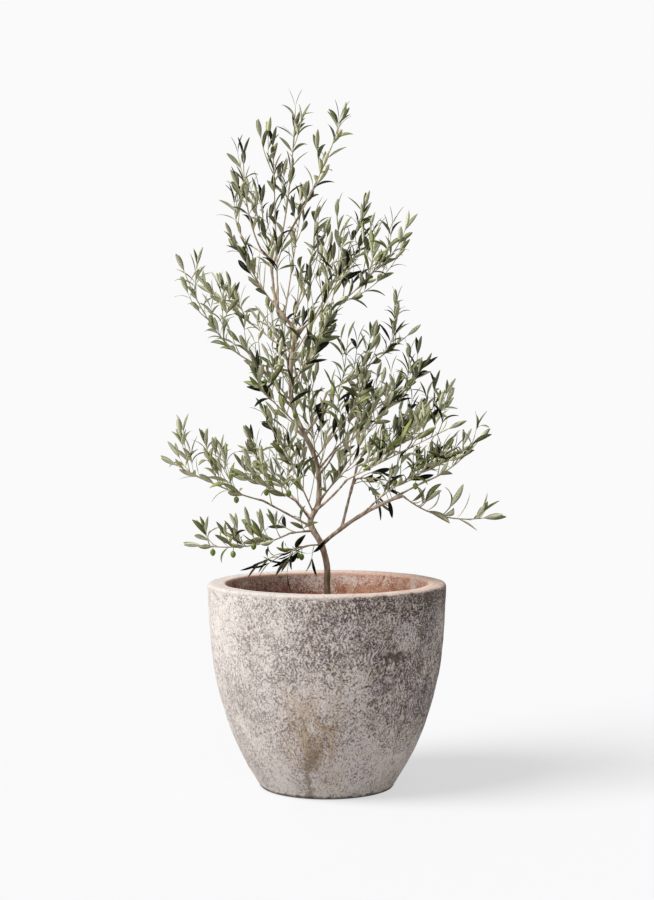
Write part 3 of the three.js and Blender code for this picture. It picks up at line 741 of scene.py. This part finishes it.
class Paint:
    """A material and short calls for its nodes."""

    def __init__(self, name, roughness, specular):
        self.material = bpy.data.materials.new(name)
        self.material.use_nodes = True
        self.tree = self.material.node_tree
        self.set("Roughness", roughness)
        self.set("Specular IOR Level", specular)
        self.place = self.node("TexCoord", "Object")

    def fill(self, socket, value):
        if isinstance(value, bpy.types.NodeSocket):
            self.tree.links.new(value, socket)
        else:
            socket.default_value = colour(value) if isinstance(value, str) else value

    def set(self, name, value):
        self.fill(self.tree.nodes["Principled BSDF"].inputs[name], value)

    def node(self, kind, output, inputs={}, **settings):
        """The named output of a new node whose inputs, by name or number, are filled."""
        made = self.tree.nodes.new("ShaderNode" + kind)
        for name, value in settings.items():
            setattr(made, name, value)
        for name, value in inputs.items():
            self.fill(made.inputs[name], value)
        return made.outputs[output]

    def axes(self, names):
        return [self.node("SeparateXYZ", name, {0: self.place}) for name in names]

    def stretch(self, scale):
        return self.node("Mapping", "Vector", {"Vector": self.place, "Scale": scale})

    def distance(self, place, middle=(0, 0, 0)):
        return self.node("VectorMath", "Value", {0: place, 1: middle}, operation="DISTANCE")

    def around(self, radius):
        """A flat place on a round side: the way round and the height."""
        x, y, z = self.axes("XYZ")
        turn = self.maths("ARCTAN2", x, self.times(y, -1))
        return self.node("CombineXYZ", "Vector", {"X": self.times(turn, radius), "Y": z})

    def noise(self, scale, detail=4, rough=0.55, distortion=0, place=None):
        inputs = {"Vector": place or self.place, "Scale": scale, "Detail": detail, "Roughness": rough,
                  "Distortion": distortion}
        return self.node("TexNoise", "Fac", inputs, noise_type="FBM")

    def strokes(self, place, scale, turn, kept, waves):
        """Short strokes whose direction wanders with "turn", from 0 to 1 for a full circle."""
        inputs = {"Vector": place, "Scale": scale, "Frequency": waves, "Anisotropy": kept,
                  "Orientation": self.times(turn, 2 * math.pi)}
        return self.node("TexGabor", "Value", inputs, gabor_type="2D")

    def straws(self, place, scale, angle, stretch):
        """Noise drawn out along one direction of a flat place."""
        inputs = {"Vector": place, "Rotation": (0, 0, angle), "Scale": (1, stretch, 1)}
        turned = self.node("Mapping", "Vector", inputs, vector_type="TEXTURE")
        return self.noise(scale, 3, 0.6, 0.3, turned)

    def scratches(self, scale):
        """Thin curling lines, where a noise passes through its middle value."""
        return self.ramp(self.off(self.noise(scale, 3, 0.65, 1.6), 0.5), 0.05, 0.01)

    def ramp(self, value, low, high, to_low=0, to_high=1):
        inputs = {"Value": value, "From Min": low, "From Max": high, "To Min": to_low, "To Max": to_high}
        return self.node("MapRange", "Result", inputs, interpolation_type="SMOOTHSTEP")

    def spread(self, noise, low, high):
        """A noise's usual values spread over a span."""
        return self.ramp(noise, 0.3, 0.7, low, high)

    def maths(self, operation, *values):
        """The values joined by one operation, from left to right."""
        result, *others = values
        for value in others:
            result = self.node("Math", "Value", {0: result, 1: value}, operation=operation)
        return result

    def plus(self, *values):
        return self.maths("ADD", *values)

    def minus(self, *values):
        return self.maths("SUBTRACT", *values)

    def times(self, *values):
        return self.maths("MULTIPLY", *values)

    def off(self, value, middle):
        """How far a value lies from a middle one, either way."""
        return self.maths("ABSOLUTE", self.minus(value, middle), 0)

    def mix(self, share, first, second):
        return self.node("Mix", "Result", {"Factor": share, "A": first, "B": second}, data_type="RGBA")

    def relief(self, height, strength, depth):
        inputs = {"Height": height, "Strength": strength, "Distance": depth}
        self.set("Normal", self.node("Bump", "Normal", inputs))


def mottled(name, tones, roughness, specular, mottling=160, grain=900, relief=(0.12, 0.0004)):
    """A leaf's side or an olive's skin, with a faint mottling and a fine relief."""
    paint = Paint(name, roughness, specular)
    paint.set("Base Color", paint.mix(paint.noise(mottling, 3), *tones))
    paint.relief(paint.noise(grain, 2), *relief)
    return paint.material


def twig_material(name, tones):
    paint = Paint(name, 0.75, 0.15)
    grain = paint.noise(220, 5, place=paint.stretch((1, 1, 0.3)))
    paint.set("Base Color", paint.mix(paint.spread(grain, 0, 1), *tones))
    paint.relief(grain, 0.5, 0.0008)
    return paint.material


# Between these heights, in metres, the bark loses its olive cast
LOW_BARK_Z = (0.46, 0.33)


def bark_material():
    """Smooth tan bark with darker streaks along it, pale pores, and an olive cast near the soil."""
    paint = Paint("bark", 0.8, 0.15)
    [z] = paint.axes("Z")
    streaks = paint.noise(120, 6, 0.65, 0.4, place=paint.stretch((1, 1, 0.25)))
    patches = paint.noise(18, 4, 0.6, 0.3)
    pores = paint.ramp(paint.noise(420, 2), 0.66, 0.74)
    tan = paint.mix(paint.ramp(streaks, 0.32, 0.68), *BARK)
    tan = paint.mix(paint.ramp(patches, 0.42, 0.7, 0, 0.6), tan, BARK_PATCH)
    tan = paint.mix(paint.ramp(z, *LOW_BARK_Z, 0, 0.75), tan, paint.mix(streaks, *LOW_BARK))
    paint.set("Base Color", paint.mix(paint.times(pores, 0.6), tan, BARK_PORE))
    paint.relief(paint.plus(streaks, paint.times(pores, 0.4)), 0.6, 0.0012)
    return paint.material


# Where the pot's looks change, in metres along each axis: from where a change begins to where it
# is full
RIM_X = (-0.1, 0.2)
RIM_Z = (0.3585, 0.3635)
RIM_WAVE = 0.0025
# The pale rim band reaches lower on the left, where light falls on the lip's edge: painted light
RIM_SHADE_DROP = 0.003
RIM_SHADE_DROP_X = (0.02, 0.12)
RIM_INNER_RADII = (0.186, 0.1835)
SIDE_RADIUS = 0.2
# Towards the pot's left, where the light falls, the clay and wash change colour: painted light
PAINTED_LIGHT_X = (0.06, -0.16)
# Less wash on the right, away from the light: partly wear, partly painted shade
WORN_AND_SHADED_X = (-0.06, 0.14)
WORN_AND_SHADED_Z = (0.1, 0.36)
UNDER_RIM_X = (-0.05, 0.06)
UNDER_RIM_Z = (0.3, 0.355)
# Lighter clay and more wash low down, on the wall that turns down to the foot: painted light
LOW_WASH_Z = (0.14, 0.01)
LOW_CLAY_Z = (0.18, 0.02)
STAIN_X = -0.022
STAIN_REACH = (0.075, 0.01)
STAIN_TOP_Z = (0.26, 0.17)
STAIN_FOOT_Z = (0.02, 0.1)
STAIN_Y = (0, -0.08)
RUN_X = (-0.022, -0.036)
RUN_REACH = (0.009, 0.001)
RUN_Z = (0.12, 0.07)
RUN_Y = (0, -0.06)
PATCH_X = 0.119
PATCH_Z = 0.254
PATCH_REACH = (0.03, 0.008)
PATCH_WAVE = 0.018
PATCH_Y = (0, -0.05)
# A dark line along the foot, where the pot meets the floor: painted shadow
FOOT_SHADOW_Z = (0.0075, 0.003)
FOOT_SHADOW_WAVE = 0.002
INNER_FLAKES_X = (-0.12, 0.12)
INNER_FLAKES_Z = (0.32, 0.356)
INNER_CLAY_X = (-0.1, 0.06)

# The wash: the scale and direction of each kind of straw, and how much each layer counts
STRAWS = ((420, 0.7), (370, -0.5), (400, 1.5), (350, 0.1))
STRAW_STRETCH = 4
STRAW_WEIGHT = 0.75
BRUSH_WEIGHT = 0.2
GRAIN_WEIGHT = 0.9
SCRATCH_WEIGHT = 0.11
WASH_MIDDLE = 0.475
PATCH_SQUASH = 2.2


def add_rim(paint, surface, grain):
    """The worn lip, cream on the left and pinker on the right, with an orange inner edge. Its pale band
    reaches lower down the rounded edge on the left, where the light falls: painted light.
    """
    x, z = paint.axes("XZ")
    height = paint.plus(z, paint.spread(paint.noise(60, 3), -RIM_WAVE, RIM_WAVE))
    # Painted light: the pale band reaches lower on the left, where light falls on the lip's rounded edge
    height = paint.minus(height, paint.ramp(x, *RIM_SHADE_DROP_X, 0, RIM_SHADE_DROP))
    across = paint.ramp(x, *RIM_X)
    spots = paint.plus(paint.noise(210, 4, 0.7, 0.8), paint.times(grain, 0.5))
    worn, white = paint.mix(across, *RIM_WORN), paint.mix(across, *RIM_WASH)
    rim = paint.mix(paint.ramp(spots, 0.6, 0.78), worn, white)
    way_out = paint.distance(paint.stretch((1, 1, 0)))
    rim = paint.mix(paint.ramp(way_out, *RIM_INNER_RADII, 0, 0.6), rim, RIM_INNER_EDGE)
    return paint.mix(paint.ramp(height, *RIM_Z), surface, rim)


def brushed_wash(paint, middle, grain):
    """Straws and short strokes that turn this way and that, with thin scratches between them."""
    flat = paint.around(SIDE_RADIUS)
    wander = paint.noise(22, 4, 0.65, 1.2)
    straws = [paint.straws(flat, scale, angle, STRAW_STRETCH) for scale, angle in STRAWS]
    rising = paint.mix(paint.ramp(wander, 0.46, 0.5), straws[0], straws[1])
    lying = paint.mix(paint.ramp(middle, 0.48, 0.52), straws[2], straws[3])
    mixed = paint.mix(paint.ramp(paint.noise(30, 3, 0.6, 0.8), 0.47, 0.53), rising, lying)
    brush = paint.strokes(flat, 75, wander, kept=0.6, waves=2.2)
    force = paint.ramp(paint.noise(15, 3, 0.6, 0.6), 0.35, 0.65, 0.75, 1.6)
    wash = paint.plus(paint.times(mixed, STRAW_WEIGHT), paint.times(brush, BRUSH_WEIGHT))
    wash = paint.times(paint.minus(wash, WASH_MIDDLE), force)
    lines = paint.minus(paint.scratches(150), paint.scratches(190))
    return paint.plus(wash, paint.times(grain, GRAIN_WEIGHT), paint.times(lines, SCRATCH_WEIGHT))


def wash_cover(paint, middle):
    """How much more the wash covers: less on the right, partly wear and partly painted shade, and under
    the rim, and more low down, painted light on the lower wall.
    """
    x, z = paint.axes("XZ")
    broad = paint.noise(8, 3, 0.6, 0.4)
    cover = paint.plus(paint.spread(middle, -0.07, 0.06), paint.spread(broad, -0.075, 0.055))
    # Partly wear, partly painted shade: less wash on the right, away from the light, more so higher up
    worn_and_shaded_right = paint.times(paint.ramp(x, *WORN_AND_SHADED_X), paint.ramp(z, *WORN_AND_SHADED_Z, 0.4, 1.2))
    under_rim = paint.times(paint.ramp(z, *UNDER_RIM_Z), paint.ramp(x, *UNDER_RIM_X, 0.2, 1))
    cover = paint.minus(cover, paint.times(worn_and_shaded_right, 0.03), paint.times(under_rim, 0.05))
    # Painted light: more wash low down, on the wall that turns down to the foot
    return paint.plus(cover, paint.ramp(z, *LOW_WASH_Z, 0, 0.03))


def add_stain(paint, surface, share):
    """A tan stain low in the middle of the front, with a thin run from it down to the foot."""
    x, y, z = paint.axes("XYZ")
    shape = paint.noise(26, 5, 0.6, 0.8, place=paint.stretch((1, 1, 0.35)))
    near = paint.ramp(paint.off(x, STAIN_X), *STAIN_REACH)
    low = paint.times(paint.ramp(z, *STAIN_TOP_Z), paint.ramp(z, *STAIN_FOOT_Z))
    stain = paint.times(near, low, paint.ramp(y, *STAIN_Y), paint.ramp(shape, 0.32, 0.68))
    surface = paint.mix(paint.times(stain, 0.85), surface, paint.mix(share, *STAIN))
    line = paint.off(x, paint.spread(paint.noise(30, 3, 0.6), *RUN_X))
    run = paint.times(paint.ramp(line, *RUN_REACH, 0, 0.6), paint.ramp(z, *RUN_Z), paint.ramp(y, *RUN_Y))
    return paint.mix(run, surface, STAIN_RUN)


def add_dark_patch(paint, surface):
    """A dark worn patch high on the right of the front."""
    [y] = paint.axes("Y")
    edge = paint.distance(paint.stretch((1, 0, PATCH_SQUASH)), (PATCH_X, 0, PATCH_SQUASH * PATCH_Z))
    edge = paint.plus(edge, paint.spread(paint.noise(70, 4, 0.7), -PATCH_WAVE, PATCH_WAVE))
    patch = paint.times(paint.ramp(edge, *PATCH_REACH, 0, 0.75), paint.ramp(y, *PATCH_Y))
    return paint.mix(patch, surface, DARK_PATCH)


def pot_outside_material():
    """Whitewash brushed thinly over grey-brown clay, with a stain, rust and a patch, painted light on
    the left and low down, and a dark foot of painted shadow.
    """
    paint = Paint("whitewashed_clay", 0.92, 0.2)
    x, z = paint.axes("XZ")
    middle = paint.noise(60, 4, 0.65, 0.8)
    grain = paint.noise(330, 6, 0.8, 0.5)
    wash = brushed_wash(paint, middle, grain)
    share = paint.ramp(paint.plus(wash, wash_cover(paint, middle)), 0.29, 0.52)
    # Painted light: towards the left, where the light falls, the clay and wash change colour
    painted_light = paint.ramp(x, *PAINTED_LIGHT_X)
    hue = paint.ramp(paint.noise(24, 3, 0.6, 0.5), 0.35, 0.65)
    clay = paint.mix(painted_light, paint.mix(hue, *GREY_CLAY), PAINTED_LIGHT_CLAY)
    # Painted light: lighter clay low down, on the wall that turns down to the foot
    clay = paint.mix(paint.ramp(z, *LOW_CLAY_Z, 0, 0.6), clay, LOW_CLAY)
    white = paint.mix(painted_light, paint.mix(hue, *WASH), PAINTED_LIGHT_WASH)
    outside = add_stain(paint, paint.mix(share, clay, white), share)
    rust = paint.noise(38, 5, 0.65, 1.5, place=paint.stretch((1, 1, 2)))
    outside = paint.mix(paint.ramp(rust, 0.58, 0.7, 0, 0.5), outside, RUST)
    outside = add_dark_patch(paint, outside)
    # Painted shadow: a dark line along the foot, where the pot meets the floor
    foot = paint.plus(z, paint.spread(middle, -FOOT_SHADOW_WAVE, FOOT_SHADOW_WAVE))
    outside = paint.mix(paint.ramp(foot, *FOOT_SHADOW_Z, 0, 0.8), outside, FOOT_SHADOW)
    paint.set("Base Color", add_rim(paint, outside, grain))
    paint.relief(paint.plus(paint.times(wash, 0.8), paint.times(grain, 0.6)), 0.8, 0.0016)
    return paint.material


def pot_inside_material():
    """Clay that shows through a thin, flaked wash: orange, and brown on the left."""
    paint = Paint("terracotta_inside", 0.92, 0.2)
    x, z = paint.axes("XZ")
    broad = paint.noise(9, 4, 0.6, 0.6)
    middle = paint.ramp(paint.noise(40, 4, 0.65, 0.8), 0.35, 0.65)
    grain = paint.noise(420, 4, 0.7, 0.3)
    flakes = paint.plus(
        paint.noise(210, 6, 0.85, 1.2),
        paint.ramp(x, *INNER_FLAKES_X, 0, 0.02),
        paint.ramp(z, *INNER_FLAKES_Z, -0.05, 0.05),
        paint.spread(broad, -0.06, 0.06),
    )
    brown, orange = paint.mix(middle, *BROWN_CLAY), paint.mix(middle, *ORANGE_CLAY)
    clay = paint.mix(paint.ramp(x, *INNER_CLAY_X), brown, orange)
    inside = paint.mix(paint.ramp(flakes, 0.52, 0.59, 0, 0.9), clay, INNER_WASH)
    paint.set("Base Color", add_rim(paint, inside, grain))
    paint.relief(paint.plus(grain, flakes), 0.5, 0.0012)
    return paint.material


def soil_material():
    paint = Paint("potting_soil", 1, 0.1)
    lumps = paint.noise(140, 5, 0.7)
    paint.set("Base Color", paint.mix(paint.ramp(lumps, 0.35, 0.7), *SOIL))
    paint.relief(lumps, 0.8, 0.003)
    return paint.material


# The pieces

def place(piece, slot, *nodes):
    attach(piece, "root")
    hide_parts(*nodes)


def lumps(spot, layers):
    """Smooth noise at a spot, from layers of height, width and how much taller than wide."""
    total = 0
    for height, width, tall in layers:
        total += height * noise.noise(Vector((spot[0], spot[1], spot[2] / tall)) / width)
    return total


def make_round(name, materials, *shape):
    """A piece from the lathe."""
    batch = Batch()
    batch.add(*lathe(*shape))
    return batch.make(name, materials)


POT_HEIGHT = 368
POT_FOOT_RADIUS = 119
POT_SWELL = 84
POT_SWELL_POWER = 2.8
POT_FLARE = 12
POT_LIP_HEIGHT = 8
POT_LIP_SQUARENESS = 0.55
POT_WALL = 33
POT_FLOOR = 34
POT_SIDES = 400
POT_FOOT_ROUND = 5
POT_FOOT_ANGLES = (0.5, 1.0)
POT_SIDE_RINGS = 100
POT_LIP_RINGS = 34
POT_HOLLOW_RINGS = (22, 10)

# Layers of unevenness: height, width, and how much taller than wide
POT_LUMPS = ((1.1, 90, 1), (0.5, 24, 1), (0.3, 9, 1))
LIP_RISE = 0.9
LIP_RISE_WIDTH = 70
LIP_RISE_SHIFT = 9
SOIL_LUMPS = ((1.8, 22, 1), (1.6, 6, 1))
SOIL_DROP = 0.4
SOIL_SIDES = 200
SOIL_RINGS = 60
SOIL_GAP = 0.6
BARK_LUMPS = ((0.35, 14, 1), (0.3, 2.2, 4), (0.12, 1.6, 1))

# The limbs' joined skin, and its knots where they fork
VOXEL = 1.05
SOFTEN_FACTOR = 0.6
SOFTEN_ROUNDS = 4
KNOT_HEIGHT = 0.55
KNOT_FROM = 5
KNOT_WIDTH = 7


def pot_radius(height):
    share = height / (POT_HEIGHT - POT_LIP_HEIGHT)
    return POT_FOOT_RADIUS + POT_SWELL * (1 - (1 - share) ** POT_SWELL_POWER) + POT_FLARE * share


def squared(value):
    """A sine or cosine changed so that a half circle becomes a flat lip with round edges."""
    return math.copysign(abs(value) ** POT_LIP_SQUARENESS, value)


def pot_profile():
    """From the middle of the underside up the outside, over the flat lip and down the hollow."""
    shoulder = POT_HEIGHT - POT_LIP_HEIGHT
    half_wall = POT_WALL / 2
    middle = pot_radius(shoulder) - half_wall
    profile = [(0, 0), (POT_FOOT_RADIUS / 2, 0), (POT_FOOT_RADIUS - POT_FOOT_ROUND, 0)]
    for angle in POT_FOOT_ANGLES:
        radius = pot_radius(POT_FOOT_ROUND) - POT_FOOT_ROUND * (1 - math.sin(angle))
        profile.append((radius, POT_FOOT_ROUND * (1 - math.cos(angle))))
    for height in np.linspace(POT_FOOT_ROUND, shoulder, POT_SIDE_RINGS):
        profile.append((pot_radius(height), height))
    for angle in np.linspace(0, math.pi, POT_LIP_RINGS)[1:]:
        out, up = squared(math.cos(angle)), squared(math.sin(angle))
        profile.append((middle + half_wall * out, shoulder + POT_LIP_HEIGHT * up))
    for high, low, rings in zip((shoulder, SOIL_TOP), (SOIL_TOP, POT_FLOOR), POT_HOLLOW_RINGS):
        for height in np.linspace(high, low, rings)[1:]:
            profile.append((pot_radius(height) - POT_WALL, height))
    return profile + [(0, POT_FLOOR)]


def make_pot():
    def shift(spot):
        """Hand-made unevenness: broad lumps, small dents and pits, none on the underside."""
        if spot[2] < 1:
            return spot
        across = np.array([spot[0], spot[1], 0])
        outward = across / max(np.linalg.norm(across), 1)
        rise = 0
        if spot[2] > POT_HEIGHT - POT_LIP_HEIGHT:
            rise = LIP_RISE * noise.noise(Vector(spot) / LIP_RISE_WIDTH + Vector((LIP_RISE_SHIFT, 0, 0)))
        return spot + outward * lumps(spot, POT_LUMPS) + rise * UP

    profile = pot_profile()
    crest = max(range(len(profile)), key=lambda ring: profile[ring][1])
    materials = [pot_outside_material(), pot_inside_material()]
    return make_round("pot_shell", materials, profile, POT_SIDES, shift, crest)


def make_soil():
    radius = pot_radius(SOIL_TOP) - POT_WALL - SOIL_GAP
    foot = POT_FLOOR + SEAT
    profile = [(0, foot), (pot_radius(POT_FLOOR) - POT_WALL - 1, foot), (radius, SOIL_TOP - 3)]
    profile += [(radius * share, SOIL_TOP) for share in np.linspace(0.99, 0.02, SOIL_RINGS)]
    profile.append((0, SOIL_TOP))

    def shift(spot):
        if spot[2] < SOIL_TOP - 1:
            return spot
        return spot + UP * (lumps(spot, SOIL_LUMPS) - SOIL_DROP)

    return make_round("soil_bed", [soil_material()], profile, SOIL_SIDES, shift)


def joined_skin(batch):
    """One closed and softened skin around all the tubes of a batch."""
    rough = batch.make("limbs_rough", [])
    remesh = rough.modifiers.new("union", "REMESH")
    remesh.mode = "VOXEL"
    remesh.voxel_size = VOXEL * MM
    soften = rough.modifiers.new("soften", "SMOOTH")
    soften.factor = SOFTEN_FACTOR
    soften.iterations = SOFTEN_ROUNDS
    bpy.context.view_layer.update()
    solid = rough.evaluated_get(bpy.context.evaluated_depsgraph_get())
    mesh = bpy.data.meshes.new_from_object(solid)
    bpy.data.objects.remove(rough)
    return mesh


def raise_bark(mesh, forks):
    """The bark's relief, with a knot at each fork and a flat cut at the soil."""
    points, normals = np.zeros((2, 3 * len(mesh.vertices)))
    mesh.vertices.foreach_get("co", points)
    mesh.vertices.foreach_get("normal", normals)
    points = points.reshape(-1, 3) / MM
    normals = normals.reshape(-1, 3)
    for i, spot in enumerate(points):
        away = np.linalg.norm(forks - spot, axis=1).min()
        knot = math.exp(-((away - KNOT_FROM) / KNOT_WIDTH) ** 2)
        points[i] = spot + normals[i] * (lumps(spot, BARK_LUMPS) + KNOT_HEIGHT * knot)
    points[:, 2] = np.maximum(points[:, 2], SOIL_TOP + SEAT)
    mesh.vertices.foreach_set("co", (points * MM).ravel())


def make_limbs(limbs, stems):
    """Trunk, boughs and the feet of the stems grown together, with the bark's relief on them."""
    trunk, *boughs = limbs.values()
    batch = Batch()
    add_limb(batch, trunk, TRUNK_STEPS, LIMB_SIDES)
    for bough in boughs:
        add_limb(batch, bough, steps_in(bough, LIMB_STEP), LIMB_SIDES)
    for stem in stems:
        stub = STUB_LENGTH / stem.length
        add_limb(batch, stem, steps_in(stem, STUB_STEP, stub), LIMB_SIDES, last=stub)
    mesh = joined_skin(batch)
    raise_bark(mesh, np.array([limb.at(0) for limb in boughs + stems]))
    mesh.name = "limbs"
    mesh.polygons.foreach_set("use_smooth", [True] * len(mesh.polygons))
    mesh.materials.clear()
    mesh.materials.append(bark_material())
    return add_object("limbs", mesh)


def make_twigs(stems, shoots, twigs):
    batch = Batch()
    for stem in stems:
        root = STEM_ROOT / stem.length
        add_limb(batch, stem, steps_in(stem, STEM_STEP, 1 - root), STEM_SIDES, first=root)
    for shoot in shoots + twigs:
        steps = steps_in(shoot, SHOOT_STEP, shoot.keeps)
        add_limb(batch, shoot, steps, SHOOT_SIDES, last=shoot.keeps, mark=1)
    brown, green = twig_material("brown_twig", BROWN_TWIG), twig_material("green_twig", GREEN_TWIG)
    return batch.make("twigs", [brown, green])


def make_leaves(leaves):
    """One piece for each tint."""
    pieces = []
    low = 0
    for name, share, upper, under in LEAF_TINTS:
        batch = Batch()
        for leaf in leaves:
            if low <= leaf.tint < low + share:
                add_leaf_mesh(batch, leaf)
        low += share
        pieces.append(batch.make(f"leaves_{name}", [
            mottled(f"leaf_{name}_upper", upper, 0.5, 0.14),
            mottled(f"leaf_{name}_under", under, 0.7, 0.1),
            mottled(f"leaf_{name}_stalk", LEAF_STALK, 0.6, 0.2),
        ]))
    return pieces


def make_fruit(roots):
    """The olives and their stalks."""
    olives, stalks = Batch(), Batch()
    for root in roots:
        add_olive(olives, stalks, root)
    skin = mottled("olive_skin", OLIVE_SKIN, 0.32, 0.5, mottling=260, grain=1400, relief=(0.15, 0.0003))
    wood = twig_material("stalk", OLIVE_STALK)
    return [olives.make("olives", [skin]), stalks.make("olive_stalks", [wood])]


limbs, stems, shoots, twigs, leaves, fruit_roots = grow_tree()
place(make_pot(), "terracotta", "pot")
place(make_soil(), "soil", "soil")
place(make_limbs(limbs, stems), "bark", "trunk", *[f"bough_{row[0]}" for row in BOUGHS])
foliage_nodes = [f"foliage_{mass.name}" for mass in MASSES]
place(make_twigs(stems, shoots, twigs), "bark", *foliage_nodes)
for piece in make_leaves(leaves) + make_fruit(fruit_roots):
    place(piece, "foliage", *foliage_nodes)


# Floor, light and camera

# How strongly the floor glows towards the eye and towards everything else, and where it fades
FLOOR_SEEN = 0.586
FLOOR_SHED = 0.215
FLOOR_RADIUS = 4
FLOOR_FADE = (2.6, 0.9)


def make_floor():
    """A white floor that fades into the white background at its edge."""
    bpy.ops.mesh.primitive_circle_add(vertices=96, radius=FLOOR_RADIUS, fill_type="NGON")
    floor = bpy.context.object
    floor.name = "floor"
    paint = Paint("floor_white", 0.9, 0.1)
    paint.set("Base Color", FLOOR_GREY)
    paint.set("Emission Color", (1, 1, 1, 1))
    seen = paint.node("LightPath", "Is Camera Ray")
    paint.set("Emission Strength", paint.ramp(seen, 0, 1, FLOOR_SHED, FLOOR_SEEN))
    paint.set("Alpha", paint.ramp(paint.distance(paint.place), *FLOOR_FADE))
    floor.data.materials.append(paint.material)


def add_sun(heading_from, rise, spread, strength):
    """A wide, soft light from the front left. Its bearing, height and spread are in degrees."""
    light = bpy.data.lights.new("key", "SUN")
    light.angle = math.radians(spread)
    light.energy = strength
    lamp = add_object("key", light)
    bearing, height = math.radians(heading_from), math.radians(rise)
    level = math.cos(height)
    toward = Vector((math.cos(bearing) * level, math.sin(bearing) * level, math.sin(height)))
    lamp.rotation_mode = "QUATERNION"
    lamp.rotation_quaternion = (-toward).to_track_quat("-Z", "Y")


def make_world(seen, shed):
    """White behind the object, and a softer white light from all round."""
    world = bpy.data.worlds.new("studio")
    world.use_nodes = True
    bpy.context.scene.world = world
    nodes, links = world.node_tree.nodes, world.node_tree.links
    background = nodes["Background"]
    background.inputs["Color"].default_value = (1, 1, 1, 1)
    path = nodes.new("ShaderNodeLightPath")
    strength = nodes.new("ShaderNodeMix")
    links.new(path.outputs["Is Camera Ray"], strength.inputs["Factor"])
    strength.inputs["A"].default_value = shed
    strength.inputs["B"].default_value = seen
    links.new(strength.outputs["Result"], background.inputs["Strength"])


# The photograph's view: the eye's place in metres, its lens and tilt from measures in the photo's
# pixels, and the sensor's height in millimetres
EYE_DISTANCE = 3.0
EYE_HEIGHT = 0.696
PICTURE_PIXELS = 900
LENS_PIXELS = 1665
LOOK_DOWN_PIXELS = 50
SENSOR_HEIGHT = 36


def make_camera():
    data = bpy.data.cameras.new("camera")
    data.lens = SENSOR_HEIGHT * LENS_PIXELS / PICTURE_PIXELS
    camera = add_object("camera", data)
    camera.location = (0, -EYE_DISTANCE, EYE_HEIGHT)
    camera.rotation_euler = (math.pi / 2 - math.atan(LOOK_DOWN_PIXELS / LENS_PIXELS), 0, 0)
    bpy.context.scene.camera = camera


make_floor()
make_world(seen=0.955, shed=0.4)
add_sun(heading_from=203, rise=46.5, spread=34, strength=4.8)
make_camera()
bpy.context.scene.view_settings.view_transform = "Standard"
